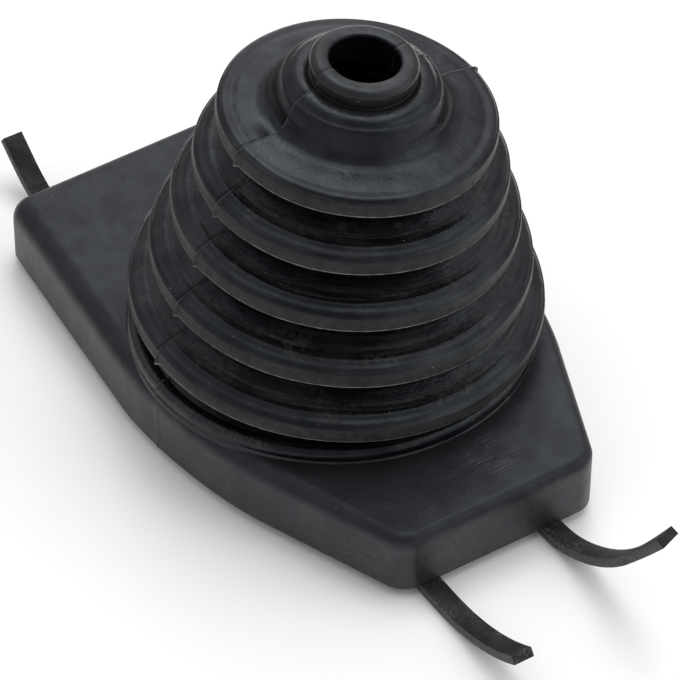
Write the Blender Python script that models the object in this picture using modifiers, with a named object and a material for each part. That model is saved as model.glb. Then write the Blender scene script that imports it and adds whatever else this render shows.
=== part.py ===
# Moulded rubber boot for a joystick or gear lever: a low six-sided pan, a leaning
# five-fold bellows and a rolled lip round the lever hole. The rim of the pan stands
# on two flat rubber straps that run from back to front under it.
# Metres, +Z up, front of the pan towards +X. The origin is the middle of the footprint.
# Left and right are as seen from the front, so left is towards -Y.

import math

import bmesh
import bpy
from mathutils import Matrix, Vector

# Pan
PAN_FRONT = 0.0992           # bellows axis to the front edge
PAN_REAR = 0.1121            # bellows axis to the rear edge
PAN_FRONT_HALF = 0.0371      # half width at the front edge
PAN_REAR_HALF = 0.0609       # half width at the rear edge
PAN_BEND_X = 0.0141          # where the side would turn if it had a sharp bend
PAN_BEND_HALF = 0.0722       # half width at that sharp bend
PAN_FRONT_CORNER = 0.009     # corner radii seen from above
PAN_REAR_CORNER = 0.008
PAN_BEND_RADIUS = 0.155
PAN_HEIGHT = 0.0227
PAN_WALL = 0.003
PAN_EDGE = 0.0042            # rounding between the top and the skirt

# Bellows: every fold is a rim with a sloping top, a flat underside and a deep valley
FOLD_COUNT = 5
FOLD_FIRST_RADIUS = 0.0692   # widest radius of the lowest fold
FOLD_RADIUS_STEP = 0.0059    # each fold is this much smaller than the one below
FOLD_FIRST_HEIGHT = 0.0156   # widest line of the lowest fold above the pan
FOLD_PITCH = 0.0187
FOLD_DEPTH = 0.0125          # rim to valley, measured inwards
RIM_ABOVE = 0.0045           # widest line up to the ridge of the rim
RIM_BELOW = 0.0022           # widest line down to the sharp lower edge
RIM_SLOPE = 0.0014           # how far the ridge stands back from the widest line
RIM_UNDERCUT = 0.0007        # how far the lower edge stands back
VALLEY_TOP = 0.0030          # top and bottom of the valley floor, below the next fold
VALLEY_BOTTOM = 0.0065
BELLOWS_WALL = 0.0026

# Bead round the foot of the bellows
BEAD_RADIUS = 0.0028
BEAD_CENTRE_RADIUS = 0.0657
FOOT_INNER_RADIUS = 0.0595

# Neck on the top fold, with heights above the ridge of that fold
LEVER_HOLE_RADIUS = 0.0113
HOLE_EDGE = 0.0008           # rounding of the hole's upper edge
LIP_RADIUS = 0.0176          # outside of the lip
LIP_HEIGHT = 0.0074          # from the groove under the lip to its crest
LIP_EDGE = 0.0015            # rounding of the lip's outer edge
GROOVE_RADIUS = 0.0163
DOME_RADIUS = 0.0260
DOME_HEIGHT = 0.0130
DOME_SHOULDER = 0.0030       # rounding of the dome's upper edge
FLARE_RADIUS = 0.0312        # where the foot of the dome meets the flat of the top fold
FLARE_RISE = 0.0098          # how far up the dome its foot spreads
DISC_RISE = 0.0008           # the top fold rises this much from its rim to the dome

# Lean of the bellows: the foot tilts all of it, and it bends further over its folds
LEAN_ANGLE = 4.4             # degrees
LEAN_DIRECTION = 25.0        # degrees from +X towards +Y
LEAN_START = 0.0050          # the lean grows between these heights above the pan
LEAN_END = 0.0150
BEND_ANGLE = 2.4
BEND_DIRECTION = 109.0

# Straps under the pan
STRAP_WIDTH = 0.0075
STRAP_THICKNESS = 0.0033
STRAP_REST_GAP = 0.0003      # pan rim above the straps
STRAP_EASE = 0.040           # length in which a strap swings from its exit to its lay
LEFT_EXIT_FRONT_Y = -0.0266
LEFT_EXIT_REAR_Y = -0.0385
RIGHT_EXIT_FRONT_Y = 0.0207
RIGHT_EXIT_REAR_Y = 0.0330
# Free ends from the pan's edge outwards: length, upward curl, twist (degrees)
LEFT_FRONT_END = [(0.0084, 0, 0), (0.0453, 34.5, 0)]
LEFT_REAR_END = [(0.0284, 36.5, 0), (0.0114, 0, 0)]
RIGHT_FRONT_END = [(0.0118, 19.6, 5.9), (0.0393, 33.2, -8.0), (0.0235, 3.3, -14.6)]
RIGHT_REAR_END = [(0.0110, 0, 0)]

# Fineness of the round shapes
TURN_STEPS = 48
CORNER_STEPS = 6
STRAP_STEP = 0.0045
MERGE_DISTANCE = 0.00001


def clear_scene():
    for obj in list(bpy.data.objects):
        bpy.data.objects.remove(obj, do_unlink=True)


def new_collection(name):
    collection = bpy.data.collections.new(name)
    bpy.context.scene.collection.children.link(collection)
    return collection


def make_material(name, color, roughness):
    material = bpy.data.materials.new(name)
    material.use_nodes = True
    shader = material.node_tree.nodes["Principled BSDF"]
    shader.inputs["Base Color"].default_value = (*color, 1.0)
    shader.inputs["Roughness"].default_value = roughness
    shader.inputs["Metallic"].default_value = 0.0
    material.diffuse_color = (*color, 1.0)
    return material


def add_object(name, mesh, collection, material=None):
    obj = bpy.data.objects.new(name, mesh)
    collection.objects.link(obj)
    if material:
        mesh.materials.append(material)
    return obj


def as_cutter(obj):
    obj.hide_render = True
    obj.display_type = "WIRE"
    return obj


def evaluated_mesh(obj):
    """The object's mesh with its modifiers applied and its doubles merged."""
    depsgraph = bpy.context.evaluated_depsgraph_get()
    mesh = bpy.data.meshes.new_from_object(obj.evaluated_get(depsgraph))
    bm = bmesh.new()
    bm.from_mesh(mesh)
    bmesh.ops.remove_doubles(bm, verts=bm.verts, dist=MERGE_DISTANCE)
    bm.to_mesh(mesh)
    bm.free()
    return mesh


def arc(center, radius, start, end, steps):
    """Points on an arc, with angles in degrees."""
    points = []
    for i in range(steps + 1):
        angle = math.radians(start + (end - start) * i / steps)
        points.append((center[0] + radius * math.cos(angle), center[1] + radius * math.sin(angle)))
    return points


def rounded_outline(corners, radii, steps):
    """A closed outline through the corners, each turned into an arc of its radius."""
    outline = []
    count = len(corners)
    for i, (corner, radius) in enumerate(zip(corners, radii)):
        before = (Vector(corners[i - 1]) - Vector(corner)).normalized()
        after = (Vector(corners[(i + 1) % count]) - Vector(corner)).normalized()
        half = before.angle(after) / 2
        center = Vector(corner) + (before + after).normalized() * radius / math.sin(half)
        first = Vector(corner) + before * radius / math.tan(half)
        start = math.degrees(math.atan2(first.y - center.y, first.x - center.x))
        turn = 180 - math.degrees(2 * half)
        outline += arc(center, radius, start, start + turn, steps)
    return outline


def pan_corners():
    """Seen from above, counter-clockwise from the front right."""
    return [
        (PAN_FRONT, PAN_FRONT_HALF),
        (PAN_BEND_X, PAN_BEND_HALF),
        (-PAN_REAR, PAN_REAR_HALF),
        (-PAN_REAR, -PAN_REAR_HALF),
        (PAN_BEND_X, -PAN_BEND_HALF),
        (PAN_FRONT, -PAN_FRONT_HALF),
    ]


def make_pan(rim_height, top_height, cutters):
    """The pan as a shell: an open box upside down, with its top edge rounded."""
    radii = [PAN_FRONT_CORNER, PAN_BEND_RADIUS, PAN_REAR_CORNER]
    outline = rounded_outline(pan_corners(), radii + radii[::-1], CORNER_STEPS)

    bm = bmesh.new()
    rim = [bm.verts.new((x, y, rim_height)) for x, y in outline]
    base = bm.faces.new(rim)
    raised = bmesh.ops.extrude_face_region(bm, geom=[base], use_keep_orig=True)
    top = [v for v in raised["geom"] if isinstance(v, bmesh.types.BMVert)]
    bmesh.ops.translate(bm, verts=top, vec=(0, 0, top_height - rim_height))
    bmesh.ops.delete(bm, geom=[base], context="FACES_ONLY")
    top_edges = [e for e in bm.edges if all(v in top for v in e.verts)]
    bmesh.ops.bevel(bm, geom=top_edges, offset=PAN_EDGE, segments=3, profile=0.5,
                    affect="EDGES", material=-1)
    bmesh.ops.recalc_face_normals(bm, faces=bm.faces)
    mesh = bpy.data.meshes.new("pan")
    bm.to_mesh(mesh)
    bm.free()

    pan = as_cutter(add_object("pan_shell", mesh, cutters))
    wall = pan.modifiers.new("wall", "SOLIDIFY")
    wall.thickness = PAN_WALL
    wall.offset = -1
    wall.use_even_offset = True
    return pan


def fold_radius(fold):
    return FOLD_FIRST_RADIUS - FOLD_RADIUS_STEP * fold


def fold_height(fold):
    return FOLD_FIRST_HEIGHT + FOLD_PITCH * fold


def outer_fold(fold):
    """Outside of one fold, top to bottom: rim first, then the valley floor under it."""
    radius, height = fold_radius(fold), fold_height(fold)
    valley = radius - FOLD_DEPTH
    points = [
        (radius - RIM_SLOPE, height + RIM_ABOVE),
        (radius, height),
        (radius - RIM_UNDERCUT, height - RIM_BELOW),
        (valley, height - VALLEY_TOP),
    ]
    if fold > 0:
        points.append((valley, height - VALLEY_BOTTOM))
    return points


def inner_fold(fold):
    """Inside of the same fold, bottom to top."""
    radius, height = fold_radius(fold), fold_height(fold)
    inner_valley = radius - FOLD_DEPTH - BELLOWS_WALL
    slant = BELLOWS_WALL * 0.6
    points = [
        (inner_valley, height - VALLEY_TOP + BELLOWS_WALL * 0.75),
        (radius - RIM_SLOPE - BELLOWS_WALL * 0.8, height + RIM_ABOVE - BELLOWS_WALL * 1.15),
    ]
    if fold > 0:
        points.insert(0, (inner_valley, height - VALLEY_BOTTOM - slant))
    return points


def neck_profile(base):
    """Outside of the neck, from inside the lever hole over the lip down to the top fold."""
    groove = base + DOME_HEIGHT
    crest = groove + LIP_HEIGHT
    hole_edge = arc((LEVER_HOLE_RADIUS + HOLE_EDGE, crest - HOLE_EDGE), HOLE_EDGE, 180, 90, 2)
    lip = arc((LIP_RADIUS - LIP_EDGE, crest - LIP_EDGE), LIP_EDGE, 90, 0, 3)
    lip.append(((LIP_RADIUS + GROOVE_RADIUS) / 2, groove + LIP_EDGE / 2))
    dome = arc((DOME_RADIUS - DOME_SHOULDER, groove - DOME_SHOULDER), DOME_SHOULDER, 90, 10, 4)
    flare = []
    for i in range(1, 5):
        angle = math.radians(90 * i / 4)
        radius = DOME_RADIUS + (FLARE_RADIUS - DOME_RADIUS) * (1 - math.cos(angle))
        flare.append((radius, base + DISC_RISE + FLARE_RISE * (1 - math.sin(angle))))
    return hole_edge + lip + [(GROOVE_RADIUS, groove)] + dome + flare


def neck_inside(base):
    """Inside of the neck, bottom to top."""
    groove = base + DOME_HEIGHT
    inner_dome = DOME_RADIUS - BELLOWS_WALL
    return [
        (FLARE_RADIUS, base + DISC_RISE - BELLOWS_WALL),
        (inner_dome + BELLOWS_WALL / 2, base + DISC_RISE),
        (inner_dome, base + DOME_HEIGHT / 2),
        (inner_dome - BELLOWS_WALL / 2, groove - BELLOWS_WALL),
        (LEVER_HOLE_RADIUS, groove - BELLOWS_WALL),
    ]


def bellows_profile():
    """Closed section of the bellows, as radius and height above the pan."""
    top = FOLD_COUNT - 1
    neck_base = fold_height(top) + RIM_ABOVE

    outside = neck_profile(neck_base)
    for fold in range(top, -1, -1):
        outside += outer_fold(fold)
    foot_valley = fold_radius(0) - FOLD_DEPTH
    outside.append((foot_valley + 0.0012, BEAD_RADIUS * 2 + 0.0016))
    outside += arc((BEAD_CENTRE_RADIUS, BEAD_RADIUS), BEAD_RADIUS, 150, -30, 6)
    foot_depth = -PAN_WALL / 2
    outside.append((BEAD_CENTRE_RADIUS + BEAD_RADIUS * 0.9, foot_depth))

    inside = [(FOOT_INNER_RADIUS, foot_depth), (FOOT_INNER_RADIUS, BEAD_RADIUS)]
    inside.append((foot_valley - BELLOWS_WALL, BEAD_RADIUS * 2 + 0.0010))
    for fold in range(FOLD_COUNT):
        inside += inner_fold(fold)
    inside += neck_inside(neck_base)
    return outside + inside


def make_bellows(pan_top, cutters):
    """The turned bellows, leaning over the pan."""
    profile = bellows_profile()
    mesh = bpy.data.meshes.new("bellows")
    bm = bmesh.new()
    ring = [bm.verts.new((radius, 0, height)) for radius, height in profile]
    for i, vert in enumerate(ring):
        bm.edges.new((vert, ring[(i + 1) % len(ring)]))
    bm.to_mesh(mesh)
    bm.free()

    turned = add_object("bellows_section", mesh, cutters)
    screw = turned.modifiers.new("turn", "SCREW")
    screw.steps = TURN_STEPS
    screw.render_steps = TURN_STEPS
    screw.use_merge_vertices = True
    screw.merge_threshold = MERGE_DISTANCE
    body = evaluated_mesh(turned)
    bpy.data.objects.remove(turned, do_unlink=True)

    for vert in body.vertices:
        vert.co = leaned(vert.co) + Vector((0, 0, pan_top))
    return as_cutter(add_object("bellows_shell", body, cutters))


def tipping(angle, direction):
    """The turn that tips +Z by the angle towards the direction, both in degrees."""
    heading = math.radians(direction)
    axis = Vector((-math.sin(heading), math.cos(heading), 0))
    return Matrix.Rotation(math.radians(angle), 3, axis)


def leaned(point):
    """A point of the upright bellows, bent over the folds and then leaned from the foot."""
    start = Vector((0, 0, FOLD_FIRST_HEIGHT))
    length = FOLD_PITCH * (FOLD_COUNT - 1)
    along = min(max(point.z - start.z, 0), length)
    bent = BEND_ANGLE * along / length
    chord = tipping(bent / 2, BEND_DIRECTION) @ Vector((0, 0, along))
    rest = point - start - Vector((0, 0, along))
    point = start + chord + tipping(bent, BEND_DIRECTION) @ rest

    share = (point.z - LEAN_START) / (LEAN_END - LEAN_START)
    share = min(max(share, 0), 1)
    return tipping(LEAN_ANGLE * share * share * (3 - 2 * share), LEAN_DIRECTION) @ point


def make_hole_cutter(pan_top, cutters):
    """Opens the top of the pan under the bellows."""
    mesh = bpy.data.meshes.new("hole")
    bm = bmesh.new()
    radius = FOOT_INNER_RADIUS + 0.0012
    bmesh.ops.create_cone(bm, cap_ends=True, segments=TURN_STEPS, radius1=radius, radius2=radius,
                          depth=PAN_WALL * 4, matrix=Matrix.Translation((0, 0, pan_top)))
    bm.to_mesh(mesh)
    bm.free()
    return as_cutter(add_object("bellows_hole", mesh, cutters))


def add_boolean(obj, operand, operation):
    boolean = obj.modifiers.new(operand.name, "BOOLEAN")
    boolean.operation = operation
    boolean.solver = "EXACT"
    boolean.object = operand


def make_boot(parts, cutters, material):
    rim_height = STRAP_THICKNESS + STRAP_REST_GAP
    pan_top = rim_height + PAN_HEIGHT
    pan = make_pan(rim_height, pan_top, cutters)
    boot = add_object("boot", evaluated_mesh(pan), parts, material)
    add_boolean(boot, make_hole_cutter(pan_top, cutters), "DIFFERENCE")
    add_boolean(boot, make_bellows(pan_top, cutters), "UNION")
    boot.data.shade_smooth()
    boot.data.set_sharp_from_angle(angle=math.radians(35))
    return boot


def sweep_section(bm, face, frame, stretches):
    """Extrudes the face along the stretches, each a length, a turn, a curl and a twist.

    Returns the faces that end up inside the strap.
    """
    inner_faces = []
    for length, turn, curl, twist in stretches:
        steps = max(1, round(length / STRAP_STEP)) if turn or curl or twist else 1
        half_bend = (
            Matrix.Rotation(math.radians(-twist / steps / 2), 4, "X")
            @ Matrix.Rotation(math.radians(turn / steps / 2), 4, "Z")
            @ Matrix.Rotation(math.radians(-curl / steps / 2), 4, "Y")
        )
        step = half_bend @ Matrix.Translation((length / steps, 0, 0)) @ half_bend
        for _ in range(steps):
            moved = frame @ step
            grown = bmesh.ops.extrude_face_region(bm, geom=[face])
            verts = [v for v in grown["geom"] if isinstance(v, bmesh.types.BMVert)]
            bmesh.ops.transform(bm, matrix=moved @ frame.inverted(), verts=verts)
            inner_faces.append(face)
            face = next(f for f in grown["geom"] if isinstance(f, bmesh.types.BMFace))
            frame = moved
    return inner_faces


def make_strap(name, front_y, rear_y, front_end, rear_end, parts, material):
    """A flat strap: straight under the pan, easing round to leave it square at both edges."""
    span = PAN_FRONT + PAN_REAR
    lay = math.degrees(math.atan2(front_y - rear_y, span - STRAP_EASE))
    middle = Vector(((PAN_FRONT - PAN_REAR) / 2, (front_y + rear_y) / 2, STRAP_THICKNESS / 2))
    straight = span / 2 / math.cos(math.radians(lay)) - STRAP_EASE
    to_front = [(straight, 0, 0, 0), (STRAP_EASE, -lay, 0, 0)]
    to_front += [(length, 0, curl, twist) for length, curl, twist in front_end]
    to_rear = [(straight, 0, 0, 0), (STRAP_EASE, -lay, 0, 0)]
    to_rear += [(length, 0, curl, twist) for length, curl, twist in rear_end]

    bm = bmesh.new()
    forward = Matrix.Translation(middle) @ Matrix.Rotation(math.radians(lay), 4, "Z")
    backward = forward @ Matrix.Rotation(math.pi, 4, "Z")
    half_width, half_thickness = STRAP_WIDTH / 2, STRAP_THICKNESS / 2
    section = [(-half_width, -half_thickness), (half_width, -half_thickness),
               (half_width, half_thickness), (-half_width, half_thickness)]
    start = bm.faces.new([bm.verts.new(forward @ Vector((0, y, z))) for y, z in section])
    inner_faces = sweep_section(bm, start, forward, to_front)
    inner_faces += sweep_section(bm, start, backward, to_rear)
    bmesh.ops.delete(bm, geom=list(set(inner_faces)), context="FACES_ONLY")
    bmesh.ops.recalc_face_normals(bm, faces=bm.faces)
    mesh = bpy.data.meshes.new(name)
    bm.to_mesh(mesh)
    bm.free()
    return add_object(name, mesh, parts, material)


def center_on_footprint(objects):
    """Moves everything so that the middle of the whole footprint is the origin."""
    depsgraph = bpy.context.evaluated_depsgraph_get()
    points = []
    for obj in objects:
        points += [vert.co.copy() for vert in obj.evaluated_get(depsgraph).data.vertices]
    low = [min(point[axis] for point in points) for axis in range(3)]
    high = [max(point[axis] for point in points) for axis in range(3)]
    shift = Vector((-(low[0] + high[0]) / 2, -(low[1] + high[1]) / 2, -low[2]))
    for obj in bpy.data.objects:
        obj.data.transform(Matrix.Translation(shift))


def main():
    clear_scene()
    parts = new_collection("joystick_boot")
    cutters = new_collection("cutters")
    rubber = make_material("moulded_rubber", (0.032, 0.033, 0.036), 0.55)
    strap_rubber = make_material("strap_rubber", (0.022, 0.022, 0.023), 0.78)

    boot = make_boot(parts, cutters, rubber)
    left = make_strap("left_strap", LEFT_EXIT_FRONT_Y, LEFT_EXIT_REAR_Y,
                      LEFT_FRONT_END, LEFT_REAR_END, parts, strap_rubber)
    right = make_strap("right_strap", RIGHT_EXIT_FRONT_Y, RIGHT_EXIT_REAR_Y,
                       RIGHT_FRONT_END, RIGHT_REAR_END, parts, strap_rubber)
    center_on_footprint([boot, left, right])


main()
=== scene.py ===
import math

import bmesh
import bpy
from mathutils import Matrix, Vector, noise


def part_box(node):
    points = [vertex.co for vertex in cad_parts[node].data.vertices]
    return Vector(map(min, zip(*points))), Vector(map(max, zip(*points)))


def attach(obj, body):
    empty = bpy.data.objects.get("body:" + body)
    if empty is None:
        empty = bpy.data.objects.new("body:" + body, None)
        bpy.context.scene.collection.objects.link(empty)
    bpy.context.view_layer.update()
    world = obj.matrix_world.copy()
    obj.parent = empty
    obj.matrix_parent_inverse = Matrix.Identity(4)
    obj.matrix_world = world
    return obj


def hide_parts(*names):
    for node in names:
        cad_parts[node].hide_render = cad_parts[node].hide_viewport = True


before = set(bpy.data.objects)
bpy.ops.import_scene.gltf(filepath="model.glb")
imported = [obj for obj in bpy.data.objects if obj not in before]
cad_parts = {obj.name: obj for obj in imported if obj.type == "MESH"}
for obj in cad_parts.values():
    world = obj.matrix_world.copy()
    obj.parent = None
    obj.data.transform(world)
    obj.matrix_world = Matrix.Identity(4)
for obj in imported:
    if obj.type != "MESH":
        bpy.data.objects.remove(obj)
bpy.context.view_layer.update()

bootLow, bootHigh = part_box("boot")

mm = 0.001
mergeDistance = 0.00001

# pan, seen from the bellows axis, in metres
pan = {
    "front": 0.0992,
    "rear": 0.1121,
    "frontHalf": 0.0371,
    "rearHalf": 0.0609,
    "bendX": 0.0141,
    "bendHalf": 0.0722,
    "frontCorner": 0.009,
    "bendCorner": 0.155,
    "rearCorner": 0.008,
    "height": 0.0227,
    "wall": 0.003,
    "edge": 0.0072,  # rounding of the top edge along the left and rear
    "tightEdge": 0.48,  # and how much of it the front and right have
    "tightFrom": (0.04, 0.01),  # where it starts to tighten, ahead of the bellows axis and beside it
    "tightReach": (0.04, 0.03),
    "cornerSteps": (14, 24, 14),
    "edgeSteps": 10,
}

# bellows, as radius and height above the pan
bellows = {
    "folds": 5,
    "firstRadius": 0.0692,
    "radiusStep": 0.0059,
    "firstHeight": 0.0156,
    "pitch": 0.0187,
    "depth": 0.0125,  # of the valleys
    "wall": 0.0026,
    "footInner": 0.0595,
    "footOverlap": 0.0012,  # how far the pan's hole runs out under the foot
    "beadCentre": 0.0657,
    "bead": 0.0028,
    "ledge": 0.0004,  # thin ledge round the bead
    "neckApart": 100,  # taken off the neck's and disc's height marks, to tell them from the folds
    "leanAngle": 4.4,  # the foot leans, and the folds bend a little further
    "leanDirection": 25.0,
    "leanStart": 0.005,
    "leanEnd": 0.015,
    "bendAngle": 2.4,
    "bendDirection": 109.0,
}

# parting line of the mould, across both sides, and the waviness of soft rubber
seam = {
    "height": 0.0003,
    "halfWidth": 0.0004,
    "mismatch": 0.00012,  # how far the front half stands proud of the rear half
    "mismatchReach": 0.006,
    "lipShare": 0.25,  # how much of the height is left on the lip, inside the lip's radius
    "lipRadius": 0.019,
    "nub": 0.0009,  # crumb on each rim, inside this inset and above this height in millimetres
    "nubInset": 1.5,
    "nubRise": -3.2,
    "dent": 0.0025,  # at the dome's foot, behind the seam
    "dentInner": 0.021,
    "dentRadius": 0.0285,
    "dentHalfWidth": 0.0085,
    "dentReach": 0.009,
    "panCuts": (-0.003, -0.0009, -0.0003, 0, 0.0003, 0.0009, 0.003),  # edges that carry the seam
    "turnCuts": (-2.5, -1.3, -0.8, -0.5, -0.25, 0, 0.25, 0.5, 0.8, 1.3, 2.5),  # the same in degrees
    "waviness": 0.00022,
    "waveLength": 0.030,
}

axisX = bootHigh.x - pan["front"]  # the bellows stands here
rimZ = bootLow.z
panTop = rimZ + pan["height"]

# camera, at the photograph's angle, measured from the bellows axis and the pan's rim
view = {
    "place": (0.90745, -0.59753, 1.03421),
    "azimuth": 56.507,
    "elevation": 43.208,
    "roll": 0.783,
    "focalPixels": 4468,
    "imagePixels": 680,
}


def makeCamera():
    data = bpy.data.cameras.new("photoCamera")
    data.sensor_width = 36
    data.lens = view["focalPixels"] / view["imagePixels"] * data.sensor_width
    data.clip_start = 0.05
    data.clip_end = 20
    obj = bpy.data.objects.new("photoCamera", data)
    turn = Matrix.Rotation(math.radians(view["azimuth"]), 4, "Z")
    tip = Matrix.Rotation(math.radians(90 - view["elevation"]), 4, "X")
    roll = Matrix.Rotation(math.radians(view["roll"]), 4, "Z")
    place = Vector(view["place"]) + Vector((axisX, 0, rimZ))
    obj.matrix_world = Matrix.Translation(place) @ turn @ tip @ roll
    bpy.context.scene.collection.objects.link(obj)
    bpy.context.scene.camera = obj


makeCamera()
print("camera placed")


def addPiece(name, mesh, material, replaced):
    mesh.materials.clear()
    mesh.materials.append(material)
    obj = bpy.data.objects.new(name, mesh)
    bpy.context.scene.collection.objects.link(obj)
    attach(obj, "root")
    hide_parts(replaced)
    return obj


def scratchObject(name, bm):
    mesh = bpy.data.meshes.new(name)
    bm.to_mesh(mesh)
    bm.free()
    obj = bpy.data.objects.new(name, mesh)
    bpy.context.scene.collection.objects.link(obj)
    return obj


def appliedMesh(obj, extras=()):
    graph = bpy.context.evaluated_depsgraph_get()
    mesh = bpy.data.meshes.new_from_object(obj.evaluated_get(graph))
    for used in (obj, *extras):
        bpy.data.objects.remove(used, do_unlink=True)
    return mesh


# pan: an outline raised to a block, its corners and top edge rounded, then hollowed
def cornerCut(before, corner, after, radius):
    a = (Vector(before) - Vector(corner)).normalized()
    b = (Vector(after) - Vector(corner)).normalized()
    return radius / math.tan(a.angle(b) / 2)


def nearestOn(loop, point):
    best = None
    for start, end in loop:
        line = end - start
        share = min(max((point - start).dot(line) / line.length_squared, 0), 1)
        spot = start + line * share
        if best is None or (spot - point).length < (best - point).length:
            best = spot
    return best


def tightenEdge(bm):
    foot = [e for e in bm.edges if all(v.co.z < rimZ + mergeDistance for v in e.verts)]
    loop = [(e.verts[0].co.xy, e.verts[1].co.xy) for e in foot]
    for vert in bm.verts:
        if vert.co.z < panTop - pan["edge"] - mergeDistance:
            continue
        starts = zip((vert.co.x - axisX, vert.co.y), pan["tightFrom"], pan["tightReach"])
        tight = min(max(0, *((at - start) / reach for at, start, reach in starts)), 1)
        keep = 1 + (pan["tightEdge"] - 1) * tight * tight * (3 - 2 * tight)
        outline = nearestOn(loop, vert.co.xy)
        vert.co.xy = outline + (vert.co.xy - outline) * keep
        vert.co.z = panTop + (vert.co.z - panTop) * keep


def makePan():
    corners = [
        (pan["front"], pan["frontHalf"]),
        (pan["bendX"], pan["bendHalf"]),
        (-pan["rear"], pan["rearHalf"]),
        (-pan["rear"], -pan["rearHalf"]),
        (pan["bendX"], -pan["bendHalf"]),
        (pan["front"], -pan["frontHalf"]),
    ]
    bm = bmesh.new()
    base = bm.faces.new([bm.verts.new((axisX + x, y, rimZ)) for x, y in corners])
    raised = bmesh.ops.extrude_face_region(bm, geom=[base], use_keep_orig=True)
    top = [v for v in raised["geom"] if isinstance(v, bmesh.types.BMVert)]
    bmesh.ops.translate(bm, verts=top, vec=(0, 0, pan["height"]))
    bmesh.ops.delete(bm, geom=[base], context="FACES_ONLY")

    radii = (pan["frontCorner"], pan["bendCorner"], pan["rearCorner"])
    for i, (radius, segments) in enumerate(zip(radii, pan["cornerSteps"])):
        cut = cornerCut(corners[i - 1], corners[i], corners[i + 1], radius)
        atX = axisX + corners[i][0]
        upright = [e for e in bm.edges if abs(e.verts[0].co.z - e.verts[1].co.z) > mm
                   and all(abs(v.co.x - atX) < mergeDistance for v in e.verts)
                   and all(abs(abs(v.co.y) - corners[i][1]) < mergeDistance for v in e.verts)]
        bmesh.ops.bevel(bm, geom=upright, offset=cut, segments=segments, profile=0.5,
                        affect="EDGES", material=-1)
    rim = [e for e in bm.edges if all(v.co.z > panTop - mergeDistance for v in e.verts)]
    bmesh.ops.bevel(bm, geom=rim, offset=pan["edge"], segments=pan["edgeSteps"], profile=0.5,
                    affect="EDGES", material=-1)
    tightenEdge(bm)
    for aside in seam["panCuts"]:
        bmesh.ops.bisect_plane(bm, geom=list(bm.verts) + list(bm.edges) + list(bm.faces),
                               plane_co=(axisX + aside, 0, 0), plane_no=(1, 0, 0))
    bmesh.ops.remove_doubles(bm, verts=bm.verts, dist=mergeDistance)
    bmesh.ops.recalc_face_normals(bm, faces=bm.faces)
    obj = scratchObject("panShell", bm)
    wall = obj.modifiers.new("wall", "SOLIDIFY")
    wall.thickness = pan["wall"]
    wall.offset = -1
    wall.use_even_offset = True
    return obj


# one fold from its ridge down to the valley under it, as inset from the widest line and height
# over it, with how far each corner is cut for its rounding
foldRim = [
    (0.0018, 0.0047, 0.0007),
    (0.0009, 0.0037, 0.0003),
    (0.0004, 0.0035, 0.0003),
    (0.0000, 0.0004, 0.0009),
    (0.0005, -0.0019, 0.0003),
    (0.0021, -0.0026, 0.0008),
    (bellows["depth"], -0.0030, 0.0012),
]
foldFloor = (bellows["depth"], -0.0065, 0.0016)  # foot of the valley, where the next fold's top starts
insideRidge = (0.0014, 0.0045)  # where the inner wall turns, before its thickness is taken off
# dips and swells on the sloping top, as distance in from the ridge, height over the straight line
# and corner cut
foldTop = [
    (0.0125, -0.0001, 0.0017),
    (0.0085, -0.0006, 0.0017),
    (0.0054, -0.0006, 0.0014),
    (0.0032, 0.0001, 0.0007),
    (0.0018, -0.0002, 0.0005),
]
discTop = [
    (0.0080, 0.0001, 0.0010),
    (0.0050, 0.0001, 0.0008),
    (0.0032, -0.00015, 0.0006),
    (0.0016, 0.0000, 0.0005),
]

# neck, outside and inside, as radius, height above the top fold's ridge, and corner cut
neck = [
    (0.0113, 0.0125, 0.0),
    (0.0113, 0.0202, 0.0009),
    (0.0158, 0.0204, 0.0008),
    (0.0176, 0.0192, 0.0010),
    (0.0174, 0.0158, 0.0010),
    (0.0167, 0.0140, 0.0004),
    (0.0165, 0.0132, 0.0003),
    (0.0174, 0.0131, 0.0004),
    (0.0186, 0.0139, 0.0008),
    (0.0222, 0.0136, 0.0013),
    (0.0240, 0.0119, 0.0008),
    (0.0254, 0.0114, 0.0006),
    (0.0262, 0.0095, 0.0010),
    (0.0270, 0.0072, 0.0012),
    (0.0276, 0.0048, 0.0011),
    (0.0290, 0.0024, 0.0015),
    (0.0318, 0.0009, 0.0016),
]
neckInside = [
    (0.0312, -0.0018, 0.0010),
    (0.0247, 0.0008, 0.0020),
    (0.0234, 0.0065, 0.0010),
    (0.0221, 0.0104, 0.0010),
    (0.0113, 0.0104, 0.0006),
]


def foldSize(fold):
    radius = bellows["firstRadius"] - bellows["radiusStep"] * fold
    return radius, bellows["firstHeight"] + bellows["pitch"] * fold


def ridgeOf(fold):
    radius, height = foldSize(fold)
    return Vector((radius - foldRim[0][0], height + foldRim[0][1]))


def slopePoints(start, ridge, swells):
    along = (start - ridge).normalized()
    across = Vector((-along.y, along.x))
    if across.y < 0:
        across = -across
    return [(*(ridge + along * far + across * rise), cut) for far, rise, cut in swells]


def outsidePoints():
    top = bellows["folds"] - 1
    ridge = ridgeOf(top)
    points = [(radius, ridge.y + height, cut) for radius, height, cut in neck]
    points += slopePoints(Vector(points[-1][:2]), ridge, discTop)
    for fold in range(top, -1, -1):
        radius, height = foldSize(fold)
        points += [(radius - inset, height + rise, cut) for inset, rise, cut in foldRim]
        if fold > 0:
            floor = (radius - foldFloor[0], height + foldFloor[1], foldFloor[2])
            points.append(floor)
            points += slopePoints(Vector(floor[:2]), ridgeOf(fold - 1), foldTop)
    return points


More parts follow.
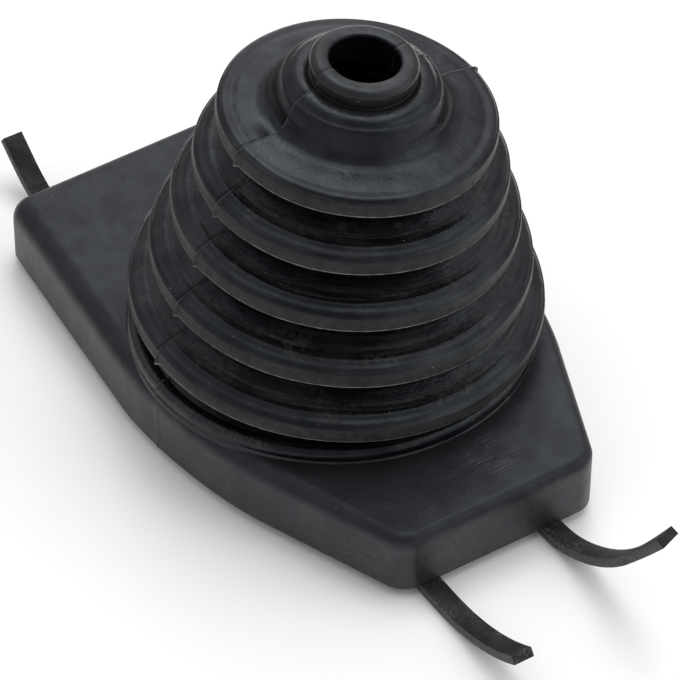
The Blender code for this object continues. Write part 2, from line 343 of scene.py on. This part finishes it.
def footPoints():
    valley = foldSize(0)[0] - bellows["depth"]
    bead, centre, ledge = bellows["bead"], bellows["beadCentre"], bellows["ledge"]
    points = [(valley + 0.0010, bead * 2 + 0.0018, 0.001)]
    for degrees in range(150, -31, -15):
        angle = math.radians(degrees)
        points.append((centre + bead * math.cos(angle), bead + bead * math.sin(angle), 0))
    outer = centre + bead * 0.9
    points.append((outer, ledge + 0.0005, 0))
    points.append((outer + ledge, 0.0005, 0.0001))
    points.append((outer + ledge, -pan["wall"] / 2, 0))
    return points


def insidePoints():
    top = bellows["folds"] - 1
    wall, depth = bellows["wall"], bellows["depth"]
    valley = foldSize(0)[0] - depth
    points = [
        (bellows["footInner"], -pan["wall"] / 2, 0),
        (bellows["footInner"], bellows["bead"], 0.001),
        (valley - wall, bellows["bead"] * 2 + 0.001, 0.001),
    ]
    for fold in range(top + 1):
        radius, height = foldSize(fold)
        if fold > 0:
            points.append((radius - depth - wall, height + foldFloor[1] - wall * 0.6, 0.001))
        points.append((radius - depth - wall, height + foldRim[-1][1] + wall * 0.75, 0.0008))
        inset, rise = insideRidge
        points.append((radius - inset - wall * 0.8, height + rise - wall * 1.15, 0.001))
    base = ridgeOf(top).y
    points += [(radius, base + height, cut) for radius, height, cut in neckInside]
    return points


def makeBellows():
    points = outsidePoints() + footPoints() + insidePoints()
    bm = bmesh.new()
    ring = [bm.verts.new((radius, 0, height)) for radius, height, cut in points]
    for i, vert in enumerate(ring):
        bm.edges.new((ring[i - 1], vert))
    cuts = sorted({cut for radius, height, cut in points if cut > 0})
    byCut = {cut: [v for v, p in zip(ring, points) if p[2] == cut] for cut in cuts}
    for cut in cuts:
        bmesh.ops.bevel(bm, geom=byCut[cut], offset=cut, segments=3, profile=0.5,
                        affect="VERTICES", material=-1)

    line = list(bm.verts) + list(bm.edges)
    first, *others = seam["turnCuts"]
    stops = [(90 + first, 35)] + [(90 + a, 1) for a in others]  # angle, and steps on the way to it
    stops += [(270 + first, 70)] + [(270 + a, 1) for a in others] + [(360, 35)]
    at = 0
    for stop, steps in stops:
        spun = bmesh.ops.spin(bm, geom=line, cent=(0, 0, 0), axis=(0, 0, 1),
                              angle=math.radians(stop - at), steps=steps)
        line, at = spun["geom_last"], stop
    bmesh.ops.remove_doubles(bm, verts=bm.verts, dist=mergeDistance)
    bmesh.ops.recalc_face_normals(bm, faces=bm.faces)
    bmesh.ops.translate(bm, verts=bm.verts, vec=(axisX, 0, panTop))
    return scratchObject("bellowsShell", bm)


def addBoolean(obj, other, operation):
    step = obj.modifiers.new(other.name, "BOOLEAN")
    step.operation = operation
    step.solver = "EXACT"
    step.object = other


# where the pan's cuts meet the bellows, the union leaves points almost on each other
def mergeDoubles(mesh):
    bm = bmesh.new()
    bm.from_mesh(mesh)
    bmesh.ops.remove_doubles(bm, verts=bm.verts, dist=mergeDistance)
    bm.to_mesh(mesh)
    bm.free()


def tipping(angle, direction):
    heading = math.radians(direction)
    return Matrix.Rotation(math.radians(angle), 3, Vector((-math.sin(heading), math.cos(heading), 0)))


def leaned(point):
    start = Vector((0, 0, bellows["firstHeight"]))
    length = bellows["pitch"] * (bellows["folds"] - 1)
    along = min(max(point.z - start.z, 0), length)
    bent = bellows["bendAngle"] * along / length
    chord = tipping(bent / 2, bellows["bendDirection"]) @ Vector((0, 0, along))
    rest = point - start - Vector((0, 0, along))
    point = start + chord + tipping(bent, bellows["bendDirection"]) @ rest

    share = (point.z - bellows["leanStart"]) / (bellows["leanEnd"] - bellows["leanStart"])
    share = min(max(share, 0), 1)
    angle = bellows["leanAngle"] * share * share * (3 - 2 * share)
    return tipping(angle, bellows["leanDirection"]) @ point


# inset from the fold's widest line, height over it and distance in front of the seam, in millimetres
def nearFold(point):
    top = bellows["folds"] - 1
    radius = math.hypot(point.x, point.y)
    valley = bellows["firstHeight"] + foldFloor[1] + mm / 10
    fold = min(max(math.floor((point.z - valley) / bellows["pitch"]), 0), top)
    wide, height = foldSize(fold)
    inset, rise = (wide - radius) / mm, (point.z - height) / mm
    if fold == top and inset > 3 and rise > 4:
        rise -= bellows["neckApart"]
    return inset, rise, point.x / mm


def roughened(point, normal):
    radius = math.hypot(point.x, point.y)
    near = math.exp(-(point.x / seam["halfWidth"]) ** 2)
    lift = seam["height"] * near * (1 if radius > seam["lipRadius"] else seam["lipShare"])
    if 0 <= point.x < seam["mismatchReach"]:
        lift += seam["mismatch"] * (1 - point.x / seam["mismatchReach"])
    moved = point + normal * lift

    inset, rise, _ = nearFold(point)
    top = bellows["folds"] - 1
    onLeft = seam["nubRise"] < rise < 0 and point.y < 0
    onRight = point.z > foldSize(top)[1] and point.y > 0
    if inset < seam["nubInset"] and (onLeft or onRight):
        moved += Vector((point.x, point.y, 0)).normalized() * seam["nub"] * near
    onDome = point.z > ridgeOf(top).y - mm and radius > seam["dentInner"]
    if point.y < 0 and point.x < 0 and onDome:
        share = 1 - abs(radius - seam["dentRadius"]) / seam["dentHalfWidth"]
        reach = 1 + point.x / seam["dentReach"]
        if share > 0 and reach > 0:
            moved.z -= seam["dent"] * share * reach
    place = point / seam["waveLength"]
    wave = Vector([noise.noise(place + Vector((0, 0, apart))) for apart in (0, 10, 20)])
    return moved + wave * seam["waviness"]


def makeBoot():
    body = makePan()
    bm = bmesh.new()
    radius = bellows["footInner"] + bellows["footOverlap"]
    bmesh.ops.create_cone(bm, cap_ends=True, segments=160, radius1=radius, radius2=radius,
                          depth=pan["wall"] * 4, matrix=Matrix.Translation((axisX, 0, panTop)))
    hole = scratchObject("bellowsHole", bm)
    shell = makeBellows()
    addBoolean(body, hole, "DIFFERENCE")
    addBoolean(body, shell, "UNION")
    mesh = appliedMesh(body, (hole, shell))
    mergeDoubles(mesh)

    # places for the wear and the painted light, taken before the shape leans
    centre = Vector((axisX, 0, panTop))
    foldPlace = mesh.attributes.new("foldPlace", "FLOAT_VECTOR", "POINT").data
    streakPlace = mesh.attributes.new("streakPlace", "FLOAT_VECTOR", "POINT").data
    normals = [vert.normal.copy() for vert in mesh.vertices]
    for i, vert in enumerate(mesh.vertices):
        point = vert.co - centre
        foldPlace[i].vector = nearFold(point)
        radius = math.hypot(point.x, point.y)
        streakPlace[i].vector = (point.x / radius, point.y / radius, (radius - point.z / 2) / mm)
        vert.co = leaned(roughened(point, normals[i])) + centre
    mesh.shade_smooth()
    mesh.set_sharp_from_angle(angle=math.radians(38))
    return mesh


def addNode(tree, kind, inputs, **settings):
    node = tree.nodes.new("ShaderNode" + kind)
    for name, value in settings.items():
        setattr(node, name, value)
    for name, value in inputs.items():
        if isinstance(value, bpy.types.NodeSocket):
            tree.links.new(value, node.inputs[name])
        else:
            node.inputs[name].default_value = value
    return node


def calc(tree, operation, *values):
    return addNode(tree, "Math", dict(enumerate(values)), operation=operation).outputs[0]


def ramp(tree, value, start, end, low=0, high=1):
    limits = {"Value": value, "From Min": start, "From Max": end, "To Min": low, "To Max": high}
    return addNode(tree, "MapRange", limits, interpolation_type="SMOOTHSTEP").outputs["Result"]


def product(tree, first, *others):
    for other in others:
        first = calc(tree, "MULTIPLY", first, other)
    return first


def atLeast(tree, least, value):
    return calc(tree, "MULTIPLY_ADD", value, 1 - least, least)


def strongest(tree, first, *others):
    for other in others:
        first = calc(tree, "MAXIMUM", first, other)
    return first


def lineAt(tree, value, at, reach, soft):
    off = calc(tree, "ABSOLUTE", calc(tree, "SUBTRACT", value, at))
    return ramp(tree, off, reach + soft, reach)


def cloud(tree, place, scale, start, end, detail=3):
    texture = addNode(tree, "TexNoise", {"Vector": place, "Scale": scale, "Detail": detail})
    return ramp(tree, texture.outputs["Fac"], start, end)


def paint(tree, under, colour, share):
    mixed = addNode(tree, "Mix", {"Factor": share, "B": (*colour, 1)}, data_type="RGBA")
    if isinstance(under, bpy.types.NodeSocket):
        tree.links.new(under, mixed.inputs["A"])
    else:
        mixed.inputs["A"].default_value = (*under, 1)
    return mixed.outputs["Result"]


def scaled(tree, place, factors):
    return addNode(tree, "Mapping", {"Vector": place, "Scale": factors}).outputs["Vector"]


def split(tree, vector):
    return addNode(tree, "SeparateXYZ", {"Vector": vector}).outputs


def specks(tree, place, scale, size, rarity):
    cells = addNode(tree, "TexVoronoi", {"Vector": place, "Scale": scale})
    chance = addNode(tree, "SeparateColor", {"Color": cells.outputs["Color"]})
    dot = ramp(tree, cells.outputs["Distance"], size, size * 0.5)
    return product(tree, dot, calc(tree, "GREATER_THAN", chance.outputs[0], rarity))


# rubber of the moulding; colours are linear, and each share is how strongly its layer covers
rubber = {
    "base": (0.0030, 0.0033, 0.0045),
    "smear": (0.0065, 0.0065, 0.0075),
    "plate": (0.0115, 0.0118, 0.0132),
    "skirt": (0.0185, 0.0180, 0.0165),
    # dust; painted paler on the lit side of the bands, and on the bead also a painted highlight
    "dusty": (0.039, 0.038, 0.0345),
    "dirt": (0.033, 0.0318, 0.025),
    "rubbed": (0.045, 0.045, 0.034),
    "worn": (0.115, 0.113, 0.105),
    # pale line on the bands' lower edges: worn edge and painted highlight
    "edge": (0.20, 0.197, 0.185),
    "speck": (0.16, 0.155, 0.14),
    "lipShare": 0.35,
    "streakShare": 0.32,
    "skirtShare": 0.45,
    "dirtShare": 0.6,
    "grimeShare": 0.9,
    "beadShare": 0.7,
    "scuffShare": 0.24,
    "bandShare": 0.6,
    "rubShare": 0.3,
    "edgeShare": 0.45,
    "seamShare": 0.35,
    "scuffPlace": (0.081, 0.009),  # scuffed patch on the plate, in front of the bellows axis
    "scuffRadius": (0.006, 0.011),
    "speckSize": 0.12,
    "speckRarity": 0.955,
    "sheen": (0.78, 0.87, 1.0),
    "reflection": (0.22, 0.33),
    "skirtReflection": 0.23,
    "bandReflection": 0.38,  # part of it left on the bands, in the bore and beside the seam
    # the bore reflects less, as painted shade inside the hole
    "boreReflection": 0.5,
    "creaseReflection": 0.45,
    "smooth": 0.27,
    "matt": 0.52,
    "grain": 0.00010,
    "unevenness": 0.0004,
}


def scuffs(tree, place):
    east, north, height = split(tree, place)
    atX, atY = rubber["scuffPlace"]
    away = calc(tree, "ADD", calc(tree, "POWER", calc(tree, "SUBTRACT", east, axisX + atX), 2),
                calc(tree, "POWER", calc(tree, "SUBTRACT", north, atY), 2))
    waves = addNode(tree, "TexWave", {"Vector": scaled(tree, place, (1, -0.55, 0)), "Scale": 210,
                                      "Distortion": 7, "Detail": 3, "Detail Scale": 1.5})
    inner, outer = rubber["scuffRadius"]
    return product(tree, ramp(tree, away, outer ** 2, inner ** 2),
                   ramp(tree, waves.outputs["Fac"], 0.6, 0.9), cloud(tree, place, 260, 0.38, 0.60),
                   calc(tree, "GREATER_THAN", height, panTop - mm))


def makeBootRubber():
    material = bpy.data.materials.new("bootRubber")
    material.use_nodes = True
    tree = material.node_tree
    shader = tree.nodes["Principled BSDF"]
    place = tree.nodes.new("ShaderNodeTexCoord").outputs["Object"]
    streak = addNode(tree, "Attribute", {}, attribute_name="streakPlace").outputs["Vector"]
    fold = addNode(tree, "Attribute", {}, attribute_name="foldPlace").outputs["Vector"]
    inset, rise, ahead = split(tree, fold)
    streakX, streakY, _ = split(tree, streak)
    height = split(tree, place)["Z"]

    # regions, from the marks in millimetres
    apart = bellows["neckApart"]
    band = product(tree, ramp(tree, inset, 1.3, 0.6), ramp(tree, rise, -2.4, -2.0),
                   ramp(tree, rise, 3.9, 2.9), ramp(tree, rise, -0.5, 3.6, 1, 0.45))
    plate = product(tree, ramp(tree, rise, -15.3, -15.5), ramp(tree, inset, 6, 4))
    skirt = ramp(tree, height, panTop - 0.0025, panTop - 0.0065)
    lip = product(tree, ramp(tree, rise, 17.4 - apart, 18.4 - apart), ramp(tree, inset, 24, 27),
                  ramp(tree, inset, 34, 32.5))
    bore = ramp(tree, inset, 33.2, 34.2)
    crease = lineAt(tree, ahead, -0.8, 0.2, 0.7)

    # wear and dirt, with painted light: the dusty bands paler on their lit side, painted highlights on
    # the band edges and the bead
    patches = cloud(tree, place, 45, 0.42, 0.68)
    fine = cloud(tree, place, 420, 0.35, 0.65)
    streaks = product(tree, cloud(tree, scaled(tree, streak, (2.2, 2.2, 0.55)), 1, 0.45, 0.72),
                      ramp(tree, rise, -15.3, -14.6))
    # pale line on each band's lower edge: worn edge, and a painted highlight where the edge catches
    # the light
    edge = product(tree, lineAt(tree, rise, -1.65, 0.20, 0.28), lineAt(tree, inset, 0.5, 0.5, 0.4))
    rub = product(tree, lineAt(tree, inset, 7.6, 0.6, 1.8), ramp(tree, rise, 3.2, 4.2),
                  cloud(tree, scaled(tree, streak, (2.0, 2.0, 1.6)), 1, 0.48, 0.66, 4))
    dirt = product(tree, ramp(tree, inset, 1.5, 4), ramp(tree, inset, 14, 10),
                   ramp(tree, rise, 3.2, 4.2), cloud(tree, place, 62, 0.53, 0.66),
                   cloud(tree, place, 480, 0.42, 0.60, 5))
    runs = cloud(tree, scaled(tree, place, (210, 210, 22)), 1, 0.40, 0.70)
    grime = product(tree, skirt, cloud(tree, scaled(tree, place, (1, 1, 0.5)), 75, 0.40, 0.62, 4),
                    cloud(tree, place, 650, 0.38, 0.62))
    # pale radial streaks on the bead's outer shoulder: scratches, and a painted highlight where the
    # bead shines
    beadScuffAndHighlight = product(tree, lineAt(tree, rise, -11.2, 0.6, 0.7), lineAt(tree, inset, 1.7, 0.8, 0.6),
                     cloud(tree, scaled(tree, streak, (4, 4, 0.1)), 1, 0.44, 0.60),
                     cloud(tree, scaled(tree, streak, (70, 70, 0.2)), 1, 0.32, 0.62))
    onLedge = product(tree, lineAt(tree, rise, -14.8, 0.15, 0.4), lineAt(tree, inset, 0.6, 0.3, 0.5),
                      cloud(tree, scaled(tree, streak, (3, 3, 0.1)), 1, 0.42, 0.60))
    onSeam = product(tree, lineAt(tree, ahead, 0.15, 0.12, 0.3), cloud(tree, place, 300, 0.35, 0.55))
    litSide = calc(tree, "MULTIPLY_ADD", streakY, -0.6, streakX)  # bands painted paler on the side toward the bright near horizon and darker on the far side: painted light on the dust
    dustWithPaintedLight = product(tree, band, ramp(tree, litSide, -0.1, 0.6, 0.15, 1))

    colour = paint(tree, rubber["base"], rubber["smear"], patches)
    layers = [
        ("plate", plate),
        ("dusty", product(tree, lip, rubber["lipShare"])),
        ("dusty", product(tree, streaks, rubber["streakShare"])),
        ("skirt", product(tree, skirt, atLeast(tree, rubber["skirtShare"], runs))),
        ("dirt", strongest(tree, product(tree, dirt, rubber["dirtShare"]),
                           product(tree, grime, rubber["grimeShare"]))),
        ("dusty", product(tree, beadScuffAndHighlight, rubber["beadShare"])),
        ("worn", product(tree, strongest(tree, onLedge, scuffs(tree, place)), rubber["scuffShare"])),
        # dusty bands, painted paler on their lit side
        ("dusty", product(tree, dustWithPaintedLight, atLeast(tree, rubber["bandShare"], fine))),
        ("rubbed", product(tree, rub, atLeast(tree, rubber["rubShare"], fine))),
        ("edge", product(tree, edge, atLeast(tree, rubber["edgeShare"], fine))),
        ("worn", product(tree, onSeam, rubber["seamShare"])),
        ("speck", specks(tree, place, 380, rubber["speckSize"], rubber["speckRarity"])),
    ]
    for name, share in layers:
        colour = paint(tree, colour, rubber[name], share)
    tree.links.new(colour, shader.inputs["Base Color"])

    mottling = cloud(tree, place, 95, 0.25, 0.75, 8)
    gloss = product(tree, ramp(tree, mottling, 0, 1, *rubber["reflection"]),
                    ramp(tree, crease, 0, 1, 1, rubber["creaseReflection"]))
    gloss = calc(tree, "MULTIPLY_ADD", skirt, rubber["skirtReflection"], gloss)
    # the bands reflect less, and the bore less again, as painted shade inside the hole
    gloss = product(tree, gloss, ramp(tree, band, 0, 1, 1, rubber["bandReflection"]),
                    ramp(tree, bore, 0, 1, 1, rubber["boreReflection"]))
    reflection = shader.inputs["Specular IOR Level"]
    # for the export, which drops the link
    reflection.default_value = sum(rubber["reflection"]) / 2  # the mean, kept on the socket itself as well
    tree.links.new(gloss, reflection)
    shader.inputs["Specular Tint"].default_value = (*rubber["sheen"], 1)
    dull = strongest(tree, band, product(tree, skirt, 0.4), product(tree, plate, 0.6),
                     product(tree, patches, 0.35))
    roughness = ramp(tree, dull, 0, 1, rubber["smooth"], rubber["matt"])
    tree.links.new(roughness, shader.inputs["Roughness"])

    wavy = addNode(tree, "TexNoise", {"Vector": place, "Scale": 110, "Detail": 2}).outputs["Fac"]
    grain = addNode(tree, "TexNoise", {"Vector": place, "Scale": 900, "Detail": 5}).outputs["Fac"]
    waves = addNode(tree, "Bump", {"Height": wavy, "Strength": 1, "Distance": rubber["unevenness"]})
    bump = addNode(tree, "Bump", {"Height": grain, "Strength": 1, "Distance": rubber["grain"],
                                  "Normal": waves.outputs["Normal"]})
    tree.links.new(bump.outputs["Normal"], shader.inputs["Normal"])
    return material


boot = addPiece("boot_moulding", makeBoot(), makeBootRubber(), "boot")
print("boot made:", len(boot.data.polygons), "faces")


# straps under the pan, in metres and degrees; each free end is a list of length, upward curl, twist
strap = {
    "width": 0.0075,
    "thickness": 0.0033,
    "ease": 0.040,
    "step": 0.0015,
    "edge": 0.0002,
}
strapRoutes = {
    "left": {
        "frontY": -0.0266, "rearY": -0.0385,
        "front": [(0.0084, 0, 0), (0.0453, 34.5, 0)],
        "rear": [(0.0284, 36.5, 0), (0.0114, 0, 0)],
    },
    "right": {
        "frontY": 0.0207, "rearY": 0.0330,
        "front": [(0.0118, 19.6, 5.9), (0.0393, 33.2, -8.0), (0.0235, 3.3, -14.6)],
        "rear": [(0.0110, 0, 0)],
    },
}


def sweepStrap(bm, face, at, stretches):
    inner = []
    for length, turn, curl, twist in stretches:
        steps = max(1, round(length / strap["step"]))
        halfBend = (
            Matrix.Rotation(math.radians(-twist / steps / 2), 4, "X")
            @ Matrix.Rotation(math.radians(turn / steps / 2), 4, "Z")
            @ Matrix.Rotation(math.radians(-curl / steps / 2), 4, "Y")
        )
        step = halfBend @ Matrix.Translation((length / steps, 0, 0)) @ halfBend
        for _ in range(steps):
            moved = at @ step
            grown = bmesh.ops.extrude_face_region(bm, geom=[face])
            verts = [v for v in grown["geom"] if isinstance(v, bmesh.types.BMVert)]
            bmesh.ops.transform(bm, matrix=moved @ at.inverted(), verts=verts)
            inner.append(face)
            face = next(f for f in grown["geom"] if isinstance(f, bmesh.types.BMFace))
            at = moved
    return inner


def makeStrap(name):
    route = strapRoutes[name]
    span = pan["front"] + pan["rear"]
    lay = math.degrees(math.atan2(route["frontY"] - route["rearY"], span - strap["ease"]))
    middle = Vector((axisX + (pan["front"] - pan["rear"]) / 2, (route["frontY"] + route["rearY"]) / 2,
                     strap["thickness"] / 2))
    straight = span / 2 / math.cos(math.radians(lay)) - strap["ease"]
    under = [(straight, 0, 0, 0), (strap["ease"], -lay, 0, 0)]
    forward = Matrix.Translation(middle) @ Matrix.Rotation(math.radians(lay), 4, "Z")
    backward = forward @ Matrix.Rotation(math.pi, 4, "Z")

    bm = bmesh.new()
    half, thin = strap["width"] / 2, strap["thickness"] / 2
    section = [(-half, -thin), (half, -thin), (half, thin), (-half, thin)]
    start = bm.faces.new([bm.verts.new(forward @ Vector((0, y, z))) for y, z in section])
    inner = sweepStrap(bm, start, forward, under + [(n, 0, c, t) for n, c, t in route["front"]])
    inner += sweepStrap(bm, start, backward, under + [(n, 0, c, t) for n, c, t in route["rear"]])
    bmesh.ops.delete(bm, geom=list(set(inner)), context="FACES_ONLY")
    bmesh.ops.recalc_face_normals(bm, faces=bm.faces)
    sharp = [e for e in bm.edges if e.calc_face_angle(0) > math.radians(60)]
    bmesh.ops.bevel(bm, geom=sharp, offset=strap["edge"], segments=2, profile=0.5,
                    affect="EDGES", material=-1)
    mesh = bpy.data.meshes.new(name + "Strap")
    bm.to_mesh(mesh)
    bm.free()
    cutEdge = mesh.attributes.new("cutEdge", "FLOAT", "FACE").data
    for face in mesh.polygons:
        cutEdge[face.index].value = 1 if abs(face.normal.z) < 0.5 else 0
    mesh.shade_smooth()
    mesh.set_sharp_from_angle(angle=math.radians(38))
    return mesh


# rubber of the straps: rough tops, paler cut edges
strapLook = {
    "base": (0.010, 0.010, 0.011),
    "mottled": (0.030, 0.030, 0.031),
    "pale": (0.072, 0.072, 0.072),
    "cut": (0.085, 0.085, 0.085),
    "roughness": 0.70,
    "reflection": 0.28,
    "grain": 0.00018,
}


def makeStrapRubber():
    material = bpy.data.materials.new("strapRubber")
    material.use_nodes = True
    tree = material.node_tree
    shader = tree.nodes["Principled BSDF"]
    place = tree.nodes.new("ShaderNodeTexCoord").outputs["Object"]
    cut = addNode(tree, "Attribute", {}, attribute_name="cutEdge").outputs["Fac"]
    patches = cloud(tree, place, 130, 0.40, 0.66)
    fine = cloud(tree, place, 900, 0.35, 0.70)
    colour = paint(tree, strapLook["base"], strapLook["mottled"],
                   product(tree, patches, atLeast(tree, 0.4, fine)))
    worn = product(tree, cloud(tree, place, 90, 0.46, 0.64), cloud(tree, place, 800, 0.46, 0.60))
    colour = paint(tree, colour, strapLook["pale"], product(tree, worn, 0.8))
    colour = paint(tree, colour, strapLook["cut"], product(tree, cut, atLeast(tree, 0.55, fine)))
    tree.links.new(colour, shader.inputs["Base Color"])
    shader.inputs["Roughness"].default_value = strapLook["roughness"]
    shader.inputs["Specular IOR Level"].default_value = strapLook["reflection"]
    grain = addNode(tree, "TexNoise", {"Vector": place, "Scale": 1500, "Detail": 4}).outputs["Fac"]
    bump = addNode(tree, "Bump", {"Height": grain, "Strength": 1, "Distance": strapLook["grain"]})
    tree.links.new(bump.outputs["Normal"], shader.inputs["Normal"])
    return material


strapRubber = makeStrapRubber()
for side in ("left", "right"):
    addPiece(side + "_strap_rubber", makeStrap(side), strapRubber, side + "_strap")
    print(side, "strap made")


# floor and light
studio = {
    "floor": (0.95, 0.95, 0.95),
    "floorDrop": 0.0002,
    "overhead": 0.92,  # brightness of the surroundings overhead
    "horizon": (0.15, 0.70),  # and at the horizon, on the far side and on the near side
    "cameraShade": 0.45,
    "strip": 1.2,  # tall bright strip on the far side, seen in the flat tops
    "stripTop": 2.0,
    "stripWidth": 0.25,
    "lamps": [  # name, place, size, power
        ("overheadSoftbox", (-0.3, 0.5, 1.6), 1.2, 8),
        ("sideSoftbox", (1.2, 1.4, 0.9), 1.6, 9),
    ],
}


def makeFloor():
    bm = bmesh.new()
    bmesh.ops.create_grid(bm, x_segments=1, y_segments=1, size=4)
    bmesh.ops.translate(bm, verts=bm.verts, vec=(0, 0, -studio["floorDrop"]))
    floor = scratchObject("studio_floor", bm)
    paper = bpy.data.materials.new("paleFloor")
    paper.use_nodes = True
    shader = paper.node_tree.nodes["Principled BSDF"]
    shader.inputs["Base Color"].default_value = (*studio["floor"], 1)
    shader.inputs["Roughness"].default_value = 0.9
    floor.data.materials.append(paper)


def makeSurroundings():
    world = bpy.data.worlds.new("softTent")
    world.use_nodes = True
    bpy.context.scene.world = world
    tree = world.node_tree
    place = tree.nodes.new("ShaderNodeTexCoord").outputs["Generated"]
    up = split(tree, place)["Z"]

    def toward(direction):
        settings = {0: place, 1: Vector(direction).normalized()}
        return addNode(tree, "VectorMath", settings, operation="DOT_PRODUCT").outputs["Value"]

    eye = Vector(view["place"])
    far = Vector((-eye.x, -eye.y, 0))
    aside = calc(tree, "ABSOLUTE", toward((-eye.y, eye.x, 0)))
    strip = product(tree, ramp(tree, aside, studio["stripWidth"], 0.03),
                    ramp(tree, toward(far), -0.05, 0.25), ramp(tree, up, 1.0, 0.92),
                    ramp(tree, up, 0.70, 0.88, 1, studio["stripTop"]), studio["strip"])
    low = ramp(tree, toward(-far), -0.3, 0.8, *studio["horizon"])
    high = ramp(tree, up, 0.0, 0.6)
    sky = calc(tree, "ADD", product(tree, high, studio["overhead"]),
               product(tree, low, calc(tree, "SUBTRACT", 1, high)))
    shade = ramp(tree, toward(eye), 0.70, 0.96, 1, studio["cameraShade"])
    background = tree.nodes["Background"]
    background.inputs["Color"].default_value = (1, 1, 1, 1)
    tree.links.new(calc(tree, "MULTIPLY_ADD", sky, shade, strip), background.inputs["Strength"])


def makeLamps():
    for name, place, size, power in studio["lamps"]:
        data = bpy.data.lights.new(name, "AREA")
        data.size = size
        data.energy = power
        lamp = bpy.data.objects.new(name, data)
        turn = Vector(place).to_track_quat("Z", "Y").to_matrix().to_4x4()
        lamp.matrix_world = Matrix.Translation(place) @ turn
        bpy.context.scene.collection.objects.link(lamp)


makeFloor()
makeSurroundings()
makeLamps()
bpy.context.scene.view_settings.view_transform = "Standard"
print("studio ready")
